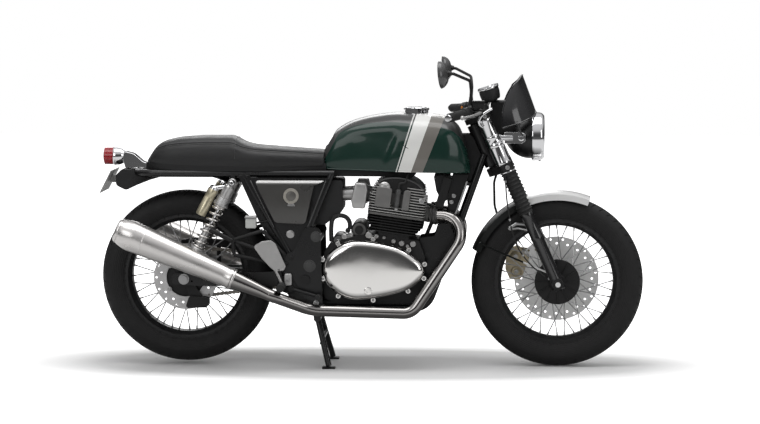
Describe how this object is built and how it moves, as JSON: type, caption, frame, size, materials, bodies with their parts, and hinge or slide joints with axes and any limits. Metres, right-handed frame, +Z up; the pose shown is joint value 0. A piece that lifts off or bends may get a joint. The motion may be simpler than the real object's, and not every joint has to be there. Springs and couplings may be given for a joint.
{
  "type": "cafe racer motorcycle",
  "caption": "Parallel-twin cafe racer motorcycle on wire wheels, with clip-on bars, twin silencers, centre stand and side stand.",
  "frame": {"origin": "on the ground under the middle of the machine's length and width", "axes": "+X forward, +Y to the rider's left, +Z up"},
  "size_m": [2.047, 0.771, 1.1597],
  "materials": {
    "black_frame": "satin black enamel",
    "black_casting": "matt black coating",
    "polished_alloy": "polished",
    "cast_alloy": "machined edges on cast fins",
    "chrome": "bright plated",
    "stainless": "satin brushed",
    "steel": "zinc plated",
    "tyre": "matt",
    "rubber": "matt",
    "seat_cover": "black grained cover",
    "tank_paint": "gloss dark green with grey top and two stripes",
    "panel_paint": "satin dark grey",
    "matt_plastic": "matt black",
    "red_lens": "clear red",
    "smoked_screen": "dark",
    "plate": "blank",
    "lamp_glass": "clear",
    "gold": "gold anodised"
  },
  "bodies": {
    "chassis": {"main_frame": "black_frame", "rear_frame": "black_frame", "swingarm": "black_frame", "pivot_bolts": "steel", "rear_axle": "steel", "shocks": "chrome", "chain": "steel", "chain_guard": "matt_plastic", "crankcase": "cast_alloy", "cylinder_barrel": "black_casting", "cylinder_head": "cast_alloy", "cam_cover": "black_casting", "clutch_cover": "polished_alloy", "generator_cover": "polished_alloy", "throttle_bodies": "cast_alloy", "air_box": "matt_plastic", "oil_cooler": "black_casting", "exhaust_pipes": "chrome", "silencers": "stainless", "fuel_tank": "tank_paint", "filler_ring": "chrome", "seat": "seat_cover", "side_panels": "panel_paint", "rear_mudguard": "matt_plastic", "tail_lamp": "red_lens", "number_plate": "plate", "rear_brake": "black_casting", "rider_footrest_right": "black_casting", "rider_footrest_left": "black_casting", "passenger_footrests": "black_casting"},
    "steering": {"steering_yokes": "black_casting", "fork_leg_right": "black_casting", "fork_leg_left": "black_casting", "front_axle": "steel", "headlamp": "black_casting", "headlamp_lens": "lamp_glass", "headlamp_brackets": "chrome", "instruments": "matt_plastic", "flyscreen": "smoked_screen", "handlebar_right": "black_frame", "handlebar_left": "black_frame", "mirrors": "matt_plastic", "front_mudguard": "chrome", "front_caliper": "gold", "brake_hose": "rubber"},
    "front_wheel": {"front_tyre": "tyre", "front_wire_wheel": "steel", "front_brake_disc": "stainless"},
    "rear_wheel": {"rear_tyre": "tyre", "rear_wire_wheel": "steel", "rear_brake_disc": "stainless", "rear_sprocket": "steel"},
    "centre_stand": {"centre_stand": "black_frame"},
    "side_stand": {"side_stand": "black_frame"},
    "fuel_cap": {"fuel_cap": "chrome"}
  },
  "joints": [
    {"name": "steering", "type": "hinge", "parent": "chassis", "child": "steering", "pos_m": [0.66128, 0, 0.30537], "axis": [-0.4099, 0, 0.9121], "range_deg": [-34, 34]},
    {"name": "front_wheel_spin", "type": "hinge", "parent": "steering", "child": "front_wheel", "pos_m": [0.7005, 0, 0.323], "axis": [0, 1, 0], "continuous": true},
    {"name": "rear_wheel_spin", "type": "hinge", "parent": "chassis", "child": "rear_wheel", "pos_m": [-0.6975, 0, 0.336], "axis": [0, 1, 0], "continuous": true},
    {"name": "centre_stand_fold", "type": "hinge", "parent": "chassis", "child": "centre_stand", "pos_m": [-0.2, 0, 0.185], "axis": [0, 1, 0], "range_deg": [0, 85]},
    {"name": "side_stand_swing", "type": "hinge", "parent": "chassis", "child": "side_stand", "pos_m": [-0.02, 0.125, 0.19], "axis": [0, -0.859, -0.512], "range_deg": [0, 100]},
    {"name": "fuel_cap_lid", "type": "hinge", "parent": "chassis", "child": "fuel_cap", "pos_m": [0.2135, 0, 0.969], "axis": [0, 1, 0], "range_deg": [0, 100]}
  ]
}
